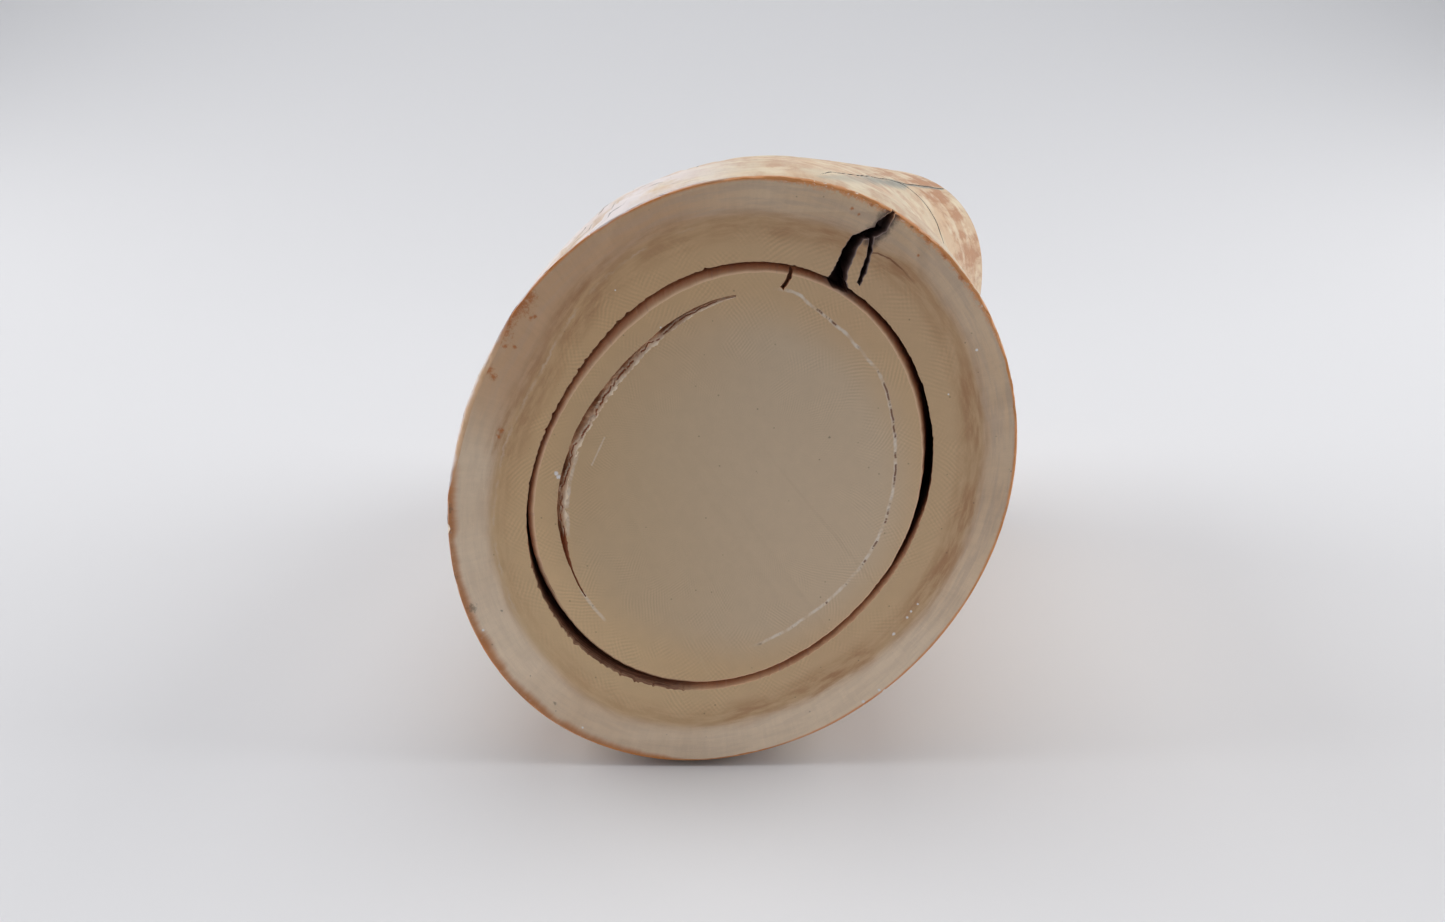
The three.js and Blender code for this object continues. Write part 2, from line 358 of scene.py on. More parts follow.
def ringWidth(angles):
    twofold = 0.19 * np.cos(2 * (angles - rad(61)))
    threefold = 0.24 * np.cos(3 * (angles + rad(4)))
    return ring["width"] + twofold + threefold + 0.13 * np.cos(4 * (angles - rad(27)))


def ringCrack():
    depth = ring["depth"]
    wall = (-1, -0.3, 0.15, 0.5, 0.85, 1.2, 1.7, 3, 6, 10, 0.4 * depth)
    loop = [(0, d) for d in wall] + [(0.3, 0.8 * depth), (0.5, depth), (0.7, 0.8 * depth)]
    loop += [(1, d) for d in reversed(wall)]

    def place(angles, side, depths):
        inward = np.clip(depths, 0, None)
        mouth = 1 - smoothStep(depths, 0, 1.4)
        width = ringWidth(angles)
        radius = ringMiddle(angles) + (side - 0.5) * width + ring["flare"] * inward
        degrees = np.degrees(angles) % 360
        slope = np.clip(depths / ring["shelfDepth"], 0, 1) ** 0.8 * width
        radius = radius + (side < 0.1) * slope * np.interp(degrees, ring["shelfAt"], ring["shelves"])
        outerShelf = np.interp(degrees, ring["outerShelfAt"], ring["outerShelves"])
        radius = radius - (side > 0.9) * slope * outerShelf
        radius = radius + ring["wallRelief"] * relief(22, angles, inward / 9 + 3 * side)
        outerNick = nicks(angles, ring["outerNicks"], ring["nickReach"])
        innerNick = nicks(angles, ring["innerNicks"], 0.6 * ring["nickReach"])
        ragged = np.clip(relief(60, angles, 7, 2), 0, None)
        tear = ring["tear"] + ring["lowTear"] * facing(angles, ring["lowTearAt"], 0.84, 0.93)
        radius = radius + (side > 0.9) * mouth * (ring["nickDepth"] * outerNick + tear * ragged)
        radius = radius - (side < 0.1) * mouth * 0.7 * ring["nickDepth"] * innerNick
        lip = np.clip(ring["lipDepth"] - depths, 0, 3 * ring["lipDepth"]) / ring["lipDepth"]
        radius = radius + lip * np.where(side > 0.5, ring["outerLip"], -ring["lip"])
        return radius, depths + 0 * angles

    return ringCutter("ringCrack", loop, ring["segments"], place, "crackWall")


def innerMiddle(angles):
    waves = (size * np.cos(times * (angles - at)) for size, times, at in inner["waves"])
    return inner["mean"] + sum(waves)


def innerWidth(angles):
    return np.interp(np.degrees(angles) % 360, inner["widthAt"], inner["widths"])


def innerCrack():
    # share of the depth across the groove: it ramps down to a sharp step on its outer side
    loop = [(0, -1), (0, 0.03), (0.1, 0.12), (0.3, 0.36), (0.5, 0.6), (0.7, 0.8), (0.88, 1), (1, 0.94),
            (1, -1)]

    def place(angles, side, share):
        wide = smoothStep(innerWidth(angles), 0.3, 1.2)
        closed = (angles < inner["openFrom"]) | (angles > inner["openTo"])
        pocket = 0.5 + 0.5 * relief(9, angles, 5)
        deeper = (inner["wideDepth"] - inner["hairDepth"]) * wide
        reach = inner["hairDepth"] + deeper * (0.55 + 0.75 * pocket)
        bed = relief(30, angles, 5 * side, 4)
        depths = reach * share + inner["bed"] * wide * bed * (share > 0.1)
        depths = np.where((share < 0) | closed, -1 + 0.4 * (share >= 0), depths)
        torn = relief(26, angles, 11, 4)
        edge = np.where(side < 0.1, inner["tear"], inner["outerTear"]) * torn * wide
        edge = edge + 0.04 * relief(50, angles, 2 + side, 2)
        radius = innerMiddle(angles) + (side - 0.5) * innerWidth(angles)
        return radius + edge * (np.abs(side - 0.5) > 0.4), depths

    return ringCutter("innerCrack", loop, inner["segments"], place, "crust")


def finelyTorn(outline, longest, tear):
    # the outline with more points, each moved a little
    points = []
    for number, here in enumerate(outline):
        there = outline[(number + 1) % len(outline)]
        pieces = max(1, math.ceil(math.dist(here, there) / longest))
        for piece in range(pieces):
            share = piece / pieces
            points.append([here[axis] + share * (there[axis] - here[axis]) for axis in (0, 1)])
    points = np.array(points)
    points[:, 0] += tear * fractal(points[:, 0] * 1.7, points[:, 1] * 1.7, 3.1, 3)
    points[:, 1] += tear * fractal(points[:, 0] * 1.7, points[:, 1] * 1.7, 8.7, 3)
    return points


def outlineCutter(name, outline, depth, tear=0.14, lip=0.07, material="crackWall"):
    # a straight-sided gap with a torn outline, its edges rubbed a little at the face
    flat = finelyTorn(outline, 0.35, tear)
    ahead = np.roll(flat, -1, axis=0) - np.roll(flat, 1, axis=0)
    outward = np.stack((ahead[:, 1], -ahead[:, 0]), -1) / np.linalg.norm(ahead, axis=1)[:, None]
    area = np.sum(flat[:, 0] * np.roll(flat[:, 1], -1) - np.roll(flat[:, 0], -1) * flat[:, 1])
    outward *= np.sign(area)
    levels = ((-1, 3 * lip), (-0.3, 3 * lip), (0.15, 0), (1.2, 0), (0.5 * depth, 0), (depth, 0))
    if depth < 2:
        levels = ((-1, lip), (-0.3, lip), (depth, 0))
    rings = []
    for level, spread in levels:
        place = flat + outward * spread
        along = np.full(len(flat), level)
        rings.append(np.stack((place[:, 0], along, middleHeight(0) + place[:, 1]), -1))
    points = np.concatenate(rings)
    return newObject(name, points, tube(len(levels), len(flat)), material)


# Outlines are from the middle of the face, in millimetres (across, up).
faceCracks = {
    "nearRing": {
        "depth": 16,
        "outline": [(13.0, 28.4), (13.6, 27.2), (15.8, 26.4), (15.4, 28.1), (15.5, 29.2), (16.2, 31.0),
                    (16.9, 32.6), (17.6, 33.5), (19.4, 33.9), (20.5, 34.6), (19.4, 36.0), (18.9, 35.1),
                    (17.5, 34.6), (16.1, 34.0), (14.9, 32.3), (14.0, 30.1)],
    },
    "nearRim": {
        "depth": 7,
        "outline": [(20.4, 34.5), (21.0, 35.6), (21.6, 36.9), (21.2, 37.4), (20.2, 36.4), (19.3, 35.8)],
    },
    "branch": {
        "depth": 9,
        "outline": [(17.25, 27.5), (17.85, 29.0), (18.45, 31.0), (18.9, 33.9), (18.3, 33.8),
                    (17.95, 31.2), (17.35, 29.4), (16.85, 27.9)],
    },
    "fissure": {
        "depth": 3,
        "outline": [(7.2, 26.9), (7.85, 27.9), (8.2, 28.6), (8.5, 29.5), (8.1, 30.0), (7.7, 28.9),
                    (7.35, 28.2), (6.75, 27.3)],
    },
}


def rimChips():
    # places around the near rim in degrees, sizes in millimetres
    chips = ((24, 0.3), (31, 0.4), (36.2, 0.5), (39.9, 0.4), (41.1, 0.5), (45.1, 0.4), (48.6, 0.5),
             (50, 0.4), (55, 0.4), (55.9, 0.6), (61.9, 0.45), (64.9, 0.35), (67.3, 0.5), (69, 0.35),
             (73.2, 0.6), (74.9, 0.45), (77.4, 0.3), (118, 0.4), (136.5, 0.35), (188.6, 1.1), (236, 0.4),
             (246.4, 0.5), (287, 0.4), (301, 0.4), (306.5, 0.6))
    shape = bmesh.new()
    for number, (at, size) in enumerate(chips):
        made = bmesh.ops.create_icosphere(shape, subdivisions=2, radius=size)["verts"]
        angle = rad(at)
        radius = float(sectionRadius(angle, 0)) + 0.3 * size
        up = float(middleHeight(0)) + radius * math.sin(angle)
        middle = Vector((radius * math.cos(angle), -0.3 * size, up))
        outward = Vector((math.cos(angle), 0, math.sin(angle)))
        for vert in made:
            lump = 1 + 0.35 * noise.noise(vert.co * 1.6 / size + Vector((number, 0, 0)))
            flat = vert.co - 0.35 * outward * vert.co.dot(outward)  # flatter than it is long
            vert.co = middle + flat * lump
    for face in shape.faces:
        face.material_index = slots.index("freshChip")
    mesh = bpy.data.meshes.new("rimChips")
    dress(mesh)
    shape.to_mesh(mesh)
    shape.free()
    return linked("rimChips", mesh)


# Drying cracks in the skin. Angles in degrees, lengths along the tusk and widths in millimetres.
skinCracks = {
    "longCrack": {"angles": (73.5, 68, 63, 61, 59.8, 58, 56, 55.2, 54.2, 54),
                  "alongs": (6, 22, 46, 68, 89.5, 104, 113.5, 130, 146, 153),
                  "halfWidth": 0.15, "depth": 0.4, "wander": 0.0016},
    "sideCrack": {"angles": (58.4, 55.6, 53.2, 50, 45.5, 41.5, 38, 30, 15, -4),
                  "alongs": (106, 111.2, 112, 112.8, 111.5, 110, 107, 104, 103, 104),
                  "halfWidth": 0.38, "depth": 0.55, "wander": 0.06, "across": True},
    "leftCrack": {"angles": (141, 143, 140, 144), "alongs": (12, 40, 66, 96),
                  "halfWidth": 0.22, "depth": 0.6, "wander": 0.02},
    "backCrack": {"angles": (196, 193, 197, 192, 194), "alongs": (44, 70, 98, 122, 153),
                  "halfWidth": 0.3, "depth": 0.8, "wander": 0.02},
    "topCrack": {"angles": (101, 103, 99), "alongs": (58, 92, 124),
                 "halfWidth": 0.18, "depth": 0.5, "wander": 0.02},
    "lowCrack": {"angles": (331, 327, 330), "alongs": (-2, 28, 61),
                 "halfWidth": 0.22, "depth": 0.6, "wander": 0.02},
    "farCrack": {"angles": (8, 5, 7), "alongs": (118, 136, 153),
                 "halfWidth": 0.25, "depth": 0.7, "wander": 0.02},
}


def skinCrack(name, angles, alongs, halfWidth, depth, wander, across=False):
    # a three-sided bar that follows a path over the skin and thins towards its ends
    proud = 0.6
    knots = np.linspace(0, 1, len(angles))
    turned = np.radians(np.abs(np.diff(angles))).sum() * tusk["shortHalf"]
    walked = np.abs(np.diff(alongs)).sum() + turned
    count = max(24, round(walked / 0.7))
    t = np.linspace(0, 1, count)
    smoothing = np.ones(max(3, count // 12) | 1)
    pad = len(smoothing) // 2

    def smooth(values):
        drawn = np.interp(t, knots, values)
        before, after = 2 * drawn[0] - drawn[pad:0:-1], 2 * drawn[-1] - drawn[-2:-pad - 2:-1]
        padded = np.concatenate((before, drawn, after))
        return np.convolve(padded, smoothing / smoothing.sum(), "valid")

    seed = sum(map(ord, name)) % 97
    angle = np.radians(smooth(angles))
    along = smooth(alongs)
    drift = wander * fractal(t * walked / 5, seed, 0.5, 4)
    if across:
        along = along + drift
    else:
        angle = angle + drift
    radius = sectionRadius(angle, np.clip(along, 0, tusk["length"])) + skinRelief(angle, along)
    heading = np.stack((np.gradient(angle) * radius, np.gradient(along)), -1)
    heading /= np.linalg.norm(heading, axis=1)[:, None]
    ends = np.clip(np.minimum(t, 1 - t) * count / 10, 0.15, 1)
    thick = halfWidth * (1 + 0.25 * fractal(t * walked / 3, seed, 4.2, 2)) * ends
    points = []
    for aside, out in ((-1, 1), (1, 1), (0, 0)):
        spread = aside * thick * (1 + proud / depth)
        height = radius + (proud if out else -depth * (0.3 + 0.7 * ends))
        turned = angle + spread * heading[:, 1] / radius
        shifted = along - spread * heading[:, 0]
        up = middleHeight(along) + height * np.sin(turned)
        points.append(np.stack((height * np.cos(turned), shifted, up), -1))
    faces = quads(3, count, rowsClosed=True, countClosed=False)
    faces += [(0, count, 2 * count), (count - 1, 2 * count - 1, 3 * count - 1)]
    return newObject(name, np.concatenate(points), faces, "greyCrack")


def carve(body, cutters):
    for cutter in cutters:
        cut = body.modifiers.new(cutter.name, "BOOLEAN")
        cut.operation = "DIFFERENCE"
        cut.solver = "MANIFOLD"
        cut.object = cutter
    seen = body.evaluated_get(bpy.context.evaluated_depsgraph_get())
    carved = bpy.data.meshes.new_from_object(seen)
    body.modifiers.clear()
    whole = body.data
    body.data = carved
    bpy.data.meshes.remove(whole)
    for cutter in cutters:
        bpy.data.objects.remove(cutter)


def layNode(tree, kind, inputs, **settings):
    # one shader node: each input is a number, a colour, a socket or a Field
    node = tree.nodes.new("ShaderNode" + kind)
    for name, value in settings.items():
        setattr(node, name, value)
    for name, value in inputs.items():
        value = getattr(value, "socket", value)
        if isinstance(value, bpy.types.NodeSocket):
            tree.links.new(value, node.inputs[name])
        else:
            node.inputs[name].default_value = value
    return node


class Field:
    # a number that varies over the surface: arithmetic on it lays maths nodes
    def __init__(self, tree, socket):
        self.tree = tree
        self.socket = socket

    def maths(self, operation, *others):
        node = layNode(self.tree, "Math", dict(enumerate((self, *others))), operation=operation)
        return Field(self.tree, node.outputs[0])

    __add__ = __radd__ = partialmethod(maths, "ADD")
    __sub__ = partialmethod(maths, "SUBTRACT")
    __mul__ = __rmul__ = partialmethod(maths, "MULTIPLY")
    __truediv__ = partialmethod(maths, "DIVIDE")
    cos = partialmethod(maths, "COSINE")
    power = partialmethod(maths, "POWER")
    clear = partialmethod(maths, "ABSOLUTE")

    def __rsub__(self, other):
        return self * -1.0 + other

    def rise(self, low, high):
        # 0 below low, 1 above high, smooth between
        ramp = {"Value": self, "From Min": low, "From Max": high}
        node = layNode(self.tree, "MapRange", ramp, interpolation_type="SMOOTHSTEP")
        return Field(self.tree, node.outputs["Result"])

    def fall(self, low, high):
        return 1.0 - self.rise(low, high)


class Surface:
    # one material: its nodes, its colour so far, and the place on the straight tusk that its
    # patterns are drawn by
    def __init__(self, name, tones):
        self.tones = tones
        self.material = bpy.data.materials.new(name)
        self.material.use_nodes = True
        self.tree = self.material.node_tree
        self.shader = self.tree.nodes["Principled BSDF"]
        self.colour = None
        place = self.lay("Attribute", {}, attribute_name="straight")
        parts = self.lay("SeparateXYZ", {0: place.outputs["Vector"]})
        self.across, self.along, self.up = (Field(self.tree, socket) for socket in parts.outputs)
        squares = self.across * self.across + self.up * self.up
        self.radius = squares.maths("SQRT").maths("MAXIMUM", 0.01)
        self.angle = self.up.maths("ARCTAN2", self.across)
        self.dirX = self.across / self.radius
        self.dirZ = self.up / self.radius

    def lay(self, kind, inputs, **settings):
        return layNode(self.tree, kind, inputs, **settings)

    def attribute(self, name):
        return Field(self.tree, self.lay("Attribute", {}, attribute_name=name).outputs["Fac"])

    def towards(self, degrees, low, high):
        # 1 on the side of the face at this angle, 0 away from it
        return (self.dirX * math.cos(rad(degrees)) + self.dirZ * math.sin(rad(degrees))).rise(low, high)

    def vector(self, x, y, z):
        return self.lay("CombineXYZ", {0: x, 1: y, 2: z}).outputs[0]

    def clouds(self, x, y, z, detail=3.0, roughness=0.5, distortion=0.0):
        # soft noise, from 0 to 1 around 0.5
        inputs = {"Vector": self.vector(x, y, z), "Scale": 1.0, "Detail": detail, "Roughness": roughness,
                  "Distortion": distortion}
        return Field(self.tree, self.lay("TexNoise", inputs).outputs["Fac"])

    def around(self, scale, along, *finer):
        # clouds round the tusk, the same at every distance from its middle
        return self.clouds(self.dirX * scale, along, self.dirZ * scale, *finer)

    def flat(self, scale, seed, *finer):
        # clouds over the sawn face
        return self.clouds(self.across * scale, seed, self.up * scale, *finer)

    def cells(self, x, y, z, feature):
        node = self.lay("TexVoronoi", {"Vector": self.vector(x, y, z), "Scale": 1.0}, feature=feature)
        return Field(self.tree, node.outputs["Distance"])

    def harmonic(self, amount, times, phase):
        return amount * (self.angle * float(times) + phase).cos()

    def oval(self, longHalf, shortHalf, lean):
        turned = self.angle - lean
        longPart = turned.cos() * shortHalf
        shortPart = turned.maths("SINE") * longHalf
        length = (longPart * longPart + shortPart * shortPart).maths("SQRT")
        return longHalf * shortHalf * length.power(-1.0)

    def fromLine(self, x, y, points):
        # distance from the place (x, y) to a line drawn through some points
        nearest = None
        for (startX, startY), (endX, endY) in zip(points, points[1:]):
            stepX, stepY = endX - startX, endY - startY
            offX, offY = x - startX, y - startY
            share = (offX * stepX + offY * stepY) / (stepX * stepX + stepY * stepY)
            share = share.maths("MAXIMUM", 0.0).maths("MINIMUM", 1.0)
            gapX, gapY = offX - share * stepX, offY - share * stepY
            gap = (gapX * gapX + gapY * gapY).maths("SQRT")
            nearest = gap if nearest is None else nearest.maths("MINIMUM", gap)
        return nearest

    def spots(self, places, ragged, low, high):
        # strongest of some round spots (across, up, size) whose edges are made ragged
        strongest = None
        for placeX, placeZ, size in places:
            offX, offZ = self.across - placeX, self.up - placeZ
            away = (offX * offX + offZ * offZ).maths("SQRT") / size
            spot = (away + ragged).fall(low, high)
            strongest = spot if strongest is None else strongest.maths("MAXIMUM", spot)
        return strongest

    def mix(self, factor, base, over):
        # each colour is the name of a tone or what an earlier mix gave
        inputs = {0: factor}
        for slot, colour in ((6, base), (7, over)):
            inputs[slot] = self.tones[colour] if isinstance(colour, str) else colour
        return self.lay("Mix", inputs, data_type="RGBA", clamp_factor=True).outputs[2]

    def paint(self, over, factor):
        # lays one more colour over what is there
        self.colour = self.mix(factor, self.colour, over)

    def shade(self, factor):
        # darkens or lightens the colour by a factor around 1
        inputs = {0: self.colour, "Scale": factor}
        self.colour = self.lay("VectorMath", inputs, operation="SCALE").outputs[0]

    def finish(self, roughness, height, depth, specular=0.4):
        # depth is how many millimetres one unit of height stands for
        bump = self.lay("Bump", {"Strength": 1.0, "Distance": depth * mm, "Height": height})
        self.tree.links.new(self.colour, self.shader.inputs["Base Color"])
        self.tree.links.new(roughness.socket, self.shader.inputs["Roughness"])
        self.tree.links.new(bump.outputs["Normal"], self.shader.inputs["Normal"])
        self.shader.inputs["Specular IOR Level"].default_value = specular
        return self.material


def tone(red, green, blue):
    def linear(value):
        value = value / 255
        return value / 12.92 if value <= 0.04045 else ((value + 0.055) / 1.055) ** 2.4

    return (linear(red), linear(green), linear(blue), 1.0)


ivory = {
    "core": tone(215, 191, 162),
    "coreWarm": tone(207, 178, 141),
    "dentin": tone(215, 178, 138),
    "dentinWarm": tone(221, 182, 137),
    "dentinPale": tone(221, 190, 147),
    "outer": tone(212, 176, 138),
    "outerPale": tone(242, 217, 188),
    "outerWarm": tone(214, 170, 130),
    "outerGrey": tone(199, 173, 151),
    "amber": tone(214, 168, 118),
    "tanBand": tone(187, 141, 101),
    "paleLine": tone(225, 202, 176),
    "rimSkin": tone(228, 140, 62),
    "rimBrown": tone(186, 120, 72),
    "brownSpot": tone(192, 110, 52),
    "darkSpeck": tone(104, 74, 56),
    "greySpot": tone(108, 92, 76),
    "dust": tone(244, 238, 236),
    "powder": tone(240, 226, 210),
    "dash": tone(122, 72, 46),
    "smudge": tone(62, 48, 50),
}

# Marks on the near face: across, up and size in millimetres
brownSpots = (
    (-26.4, 26.1, 1.1), (-27.4, 25, 1.3), (-28.2, 23.9, 1), (-29.2, 22.7, 1), (-30, 21.5, 1.2),
    (-30.8, 20.3, 0.8), (-25.6, 23.4, 0.35), (-26.2, 23.2, 0.3), (-29.7, 19.6, 0.35),
    (-28.4, 19.4, 0.3), (-32.1, 16.4, 0.7), (-31.4, 15.4, 0.5), (-34.9, 12, 0.3), (-30.7, 8, 0.35),
    (-31.1, 7.2, 0.3), (15.9, 37.4, 0.25), (16.8, 36.7, 0.2), (24.7, 31.4, 0.2),
    (18.4, 37.9, 0.25), (26.1, 33.6, 0.6), (28.2, 31.4, 0.5), (30.5, 28.6, 0.5)
)
greySpots = (
    (-38.6, -3, 0.7), (-39.1, -6, 0.9), (-38.9, -8.6, 0.6), (-36, -17.6, 0.7), (-38.2, -13, 0.4),
    (-24.9, -32.2, 0.3), (23.8, 35.1, 0.35), (13.7, 7.1, 0.2), (-22.6, -20.6, 0.2),
    (-31.9, -18, 0.2)
)
dustSpots = (
    (-23.5, 2, 0.36), (-23.2, 1.5, 0.36), (26.6, -17, 0.2), (25.7, -18.1, 0.2), (25.2, -19, 0.24),
    (23.4, -21.5, 0.28), (-34.6, -20.9, 0.22), (-21, -36, 0.2), (33, 19, 0.22), (19.4, -31.9, 0.3),
    (21.6, -30.1, 0.25), (-9, 22, 0.16), (29.5, 13, 0.16), (-14.9, 26.9, 0.14), (-33.6, 17.6, 0.25)
)
thinHairline = ((18.3, 31.75), (19.4, 31.7), (21.0, 31.0), (22.8, 29.5), (24.6, 27.5), (26.5, 25.5))
radialStain = ((18.6, 33.7), (20.2, 35.6), (21.6, 37.4))
paleScratch = ((-16.8, 7.0), (-18.6, 3.2))


def nearMarks(s, ragged):
    x, z = s.across, s.up
    fine = s.flat(2.4, 1, 3, 0.6)
    s.paint("brownSpot", s.spots(brownSpots, (fine - 0.5) * 3.2, 0.1, 1.4) * 0.8)
    s.paint("greySpot", s.spots(greySpots, (fine - 0.5) * 3, 0.1, 1.3) * 0.6)

    # inner crack: white powder along the healed line on the right, broken by brown dashes
    waves = (s.harmonic(size, times, -times * at) for size, times, at in inner["waves"])
    middle = inner["mean"] + sum(waves)
    drawnIn = 0.75 * s.towards(54, 0.96, 1) - 0.7 * s.towards(75, 0.991, 1)
    offset = s.radius - middle + drawnIn + (s.around(12, 3) - 0.5) * 0.5
    healed = s.towards(-2, 0.14, 0.3)
    tail = s.towards(222, 0.9925, 0.9965)
    patchy = s.around(13, 9).rise(0.36, 0.6)
    frayed = offset.clear() + (ragged - 0.5) * 0.34
    powder = frayed.fall(0.08, 0.32) * (healed * (0.15 + 0.65 * patchy) + tail * 0.5)
    s.paint("powder", powder)
    dashes = s.around(6, 2, 5, 0.7).rise(0.5, 0.56)
    dash = (offset - 0.06 + (ragged - 0.5) * 0.2).clear().fall(0.06, 0.2) * dashes * healed
    s.paint("dash", dash * 0.9)
    # pale along the groove's inner edge on the left: white powder and a painted highlight where that edge
    # would catch light
    lip = (offset + 0.75).clear().fall(0.1, 0.4) * s.towards(182, 0.95, 0.99) * patchy
    s.paint("powder", lip * 0.7)
    scratch = s.fromLine(x, z, paleScratch) + (ragged - 0.5) * 0.2
    s.paint("powder", scratch.fall(0.04, 0.18) * 0.45)

    # thin line that runs on from the branch crack into the tan band
    thin = s.fromLine(x, z, thinHairline) + (ragged - 0.5) * 0.2
    s.paint("dash", thin.fall(0.04, 0.17) * x.fall(21, 25.5) * 0.75)
    # dark stain round the outer end of the radial crack
    stain = s.fromLine(x, z, radialStain) + (ragged - 0.5) * 1.8
    s.paint("smudge", stain.fall(0.5, 1.7) * 0.85)
    s.paint("dust", s.spots(dustSpots, (fine - 0.5) * 1.2, 0.5, 1.1) * 0.9)


growthLines = {
    "fan": 250,  # arcs round the face
    "pitch": 8.4,  # how steeply they cross
    "contrast": 0.08,
}


def cutMaterial(name, rim, near):
    s = Surface(name, ivory)
    x, z, radius, dirX, dirZ = s.across, s.up, s.radius, s.dirX, s.dirZ
    outline = s.oval(*rim["oval"])
    band = s.oval(*rim["band"]) + dirX * rim["shift"][0] + dirZ * rim["shift"][1]
    for amount, times, phase in rim["outlineWaves"]:
        outline = outline + s.harmonic(amount, times, phase)
    for amount, times, phase in rim["bandWaves"]:
        band = band + s.harmonic(amount, times, phase)
    rimGap = outline - radius
    wobble = s.flat(0.09, 0, 2) - 0.5
    bandGap = band + wobble * 1.2 - radius  # positive inside the tan band
    ragged = s.flat(1.1, 1, 4, 0.65)

    # dentin, yellower on the left and, as painted light, paler towards the lower left; the middle a
    # little greyer
    soft = s.flat(0.05, 3)
    warm = x.fall(-24, 10)
    # painted light: paler towards the bottom and the left
    pale = soft * 0.7 + 0.05 - x * 0.005 - z * 0.005
    s.colour = s.mix(warm, "dentin", "dentinWarm")
    s.paint("dentinPale", pale)
    middle = s.mix(warm, "core", "coreWarm")
    s.paint(middle, radius.fall(20, 28) * 0.85)
    s.paint("amber", s.towards(140, 0.3, 0.95) * radius.rise(10, 25) * 0.3)
    # crossed arcs of the dentin's growth lines, strongest half way out
    fan, pitch = growthLines["fan"], growthLines["pitch"]
    waver = s.flat(0.35, 7) * 9
    one = (s.angle * fan + radius * pitch + wobble * 12 + waver).cos()
    other = (s.angle * fan - radius * pitch + wobble * 9 + waver).cos()
    share = s.flat(0.2, 2, 2).rise(0.3, 0.7)
    strength = s.flat(0.22, 9).rise(0.38, 0.66) * radius.rise(6, 20)
    crossed = (one * share + other * (1 - share)) * strength * bandGap.rise(-0.5, 2)

    # outer zone with faint streaks that point outwards and others that follow the rim
    outerMask = bandGap.fall(-1.8, -0.2)
    rays = s.around(62, radius * 0.22, 3, 0.6)
    layers = s.around(5, rimGap * 1.1, 4, 0.65)
    patches = s.flat(0.11, 5)
    # paler in soft patches and, as painted light from below, towards the left, the lower right and the
    # bottom
    pale = patches * 0.7 + 0.05 + s.towards(196, 0.75, 0.97) * 0.4 + s.towards(300, 0.5, 0.95) * 0.35
    pale = pale + s.towards(262, 0.1, 0.8) * 0.3
    outerColour = s.mix(pale, "outer", "outerPale")
    outerColour = s.mix(s.towards(128, 0.7, 0.95) * 0.8, outerColour, "outerWarm")
    greyed = layers.rise(0.4, 0.65) * (0.2 + 0.35 * s.towards(35, 0, 0.8))
    outerColour = s.mix(greyed, outerColour, "outerGrey")
    s.paint(outerColour, outerMask)

    # tan band: brown streaks that follow the growth rings, weaker low on the left
    streaks = s.around(7, bandGap * 1.15, 5, 0.65)
    blotchy = s.around(3.4, 2).rise(0.3, 0.62)
    upperLeft = s.towards(142, 0.55, 0.92)
    shifted = bandGap + 1.1 * upperLeft
    browned = shifted.rise(-2.6, -0.2) * (shifted - 1.3 * upperLeft).fall(0.2, 3.4)
    weak = 1 - 0.55 * s.towards(222, 0.4, 0.95)
    striped = 0.2 + 0.85 * streaks.rise(0.32, 0.66)
    s.paint("tanBand", browned * striped * (0.4 + 0.6 * blotchy) * weak)
    # a thin broken pale line, on the left
    line = (bandGap + 0.35 + (ragged - 0.5) * 1.2).clear().fall(0.03, 0.28) * s.towards(160, 0.3, 0.75)
    gaps = s.around(8, 4).rise(0.38, 0.6)
    s.paint("paleLine", line * gaps * 0.45)

    # orange-brown skin at the rim: a ragged band at the top right, soft and brown on the lower
    # left, elsewhere a line
    topRight = s.towards(56, 0.85, 0.96)
    lowerLeft = s.towards(214, 0.62, 0.9)
    bevelled = s.towards(161, 0.94, 0.985)
    seep = s.around(6, 7, 5, 0.65)
    crumbs = s.flat(1.6, 8, 4, 0.7)
    reach = 0.24 + seep * 0.44 + lowerLeft * (seep - 0.1) * 2.4 + topRight * (0.1 + (crumbs - 0.4) * 2.6)
    softEdge = (rimGap / reach.maths("MAXIMUM", 0.1)).fall(0.35, 1.3)
    rimColour = s.mix(lowerLeft * 0.9, "rimSkin", "rimBrown")
    s.paint(rimColour, softEdge * (0.6 + 0.6 * seep) * (1 - 0.85 * bevelled))
    fleck = (crumbs + 0.25 * ragged).rise(0.66, 0.78) * rimGap.fall(0.3, 1.3) * (0.2 + 0.8 * topRight)
    s.paint("powder", fleck * 0.75)
    darkEdge = rimGap.fall(0.06, 0.3) * s.around(16, 5).rise(0.45, 0.65)
    s.paint("darkSpeck", darkEdge * (1 - bevelled) * 0.5)

    if near:
        nearMarks(s, ragged)

    # sparse specks
    specks = s.cells(x * 0.42, 1, z * 0.42, "F1").fall(0.03, 0.07)
    s.paint("darkSpeck", specks * 0.4)

    mottle = s.flat(0.5, 6, 4, 0.6)
    grain = s.flat(6.5, 3, 2)
    shading = 0.94 + crossed * growthLines["contrast"] + (mottle - 0.5) * 0.12
    s.shade(shading + (rays - 0.5) * 0.14 * outerMask + grain * 0.12)
    fine = s.flat(2.5, 2, 3, 0.6)
    sawn = s.clouds(x * 0.12, 4, z * 3.2, 2)
    roughness = 0.42 + mottle * 0.16 + softEdge * 0.1
    height = fine * 0.35 + sawn * 0.35 + crossed * 0.15
    return s.finish(roughness, height, 0.035, 0.35)


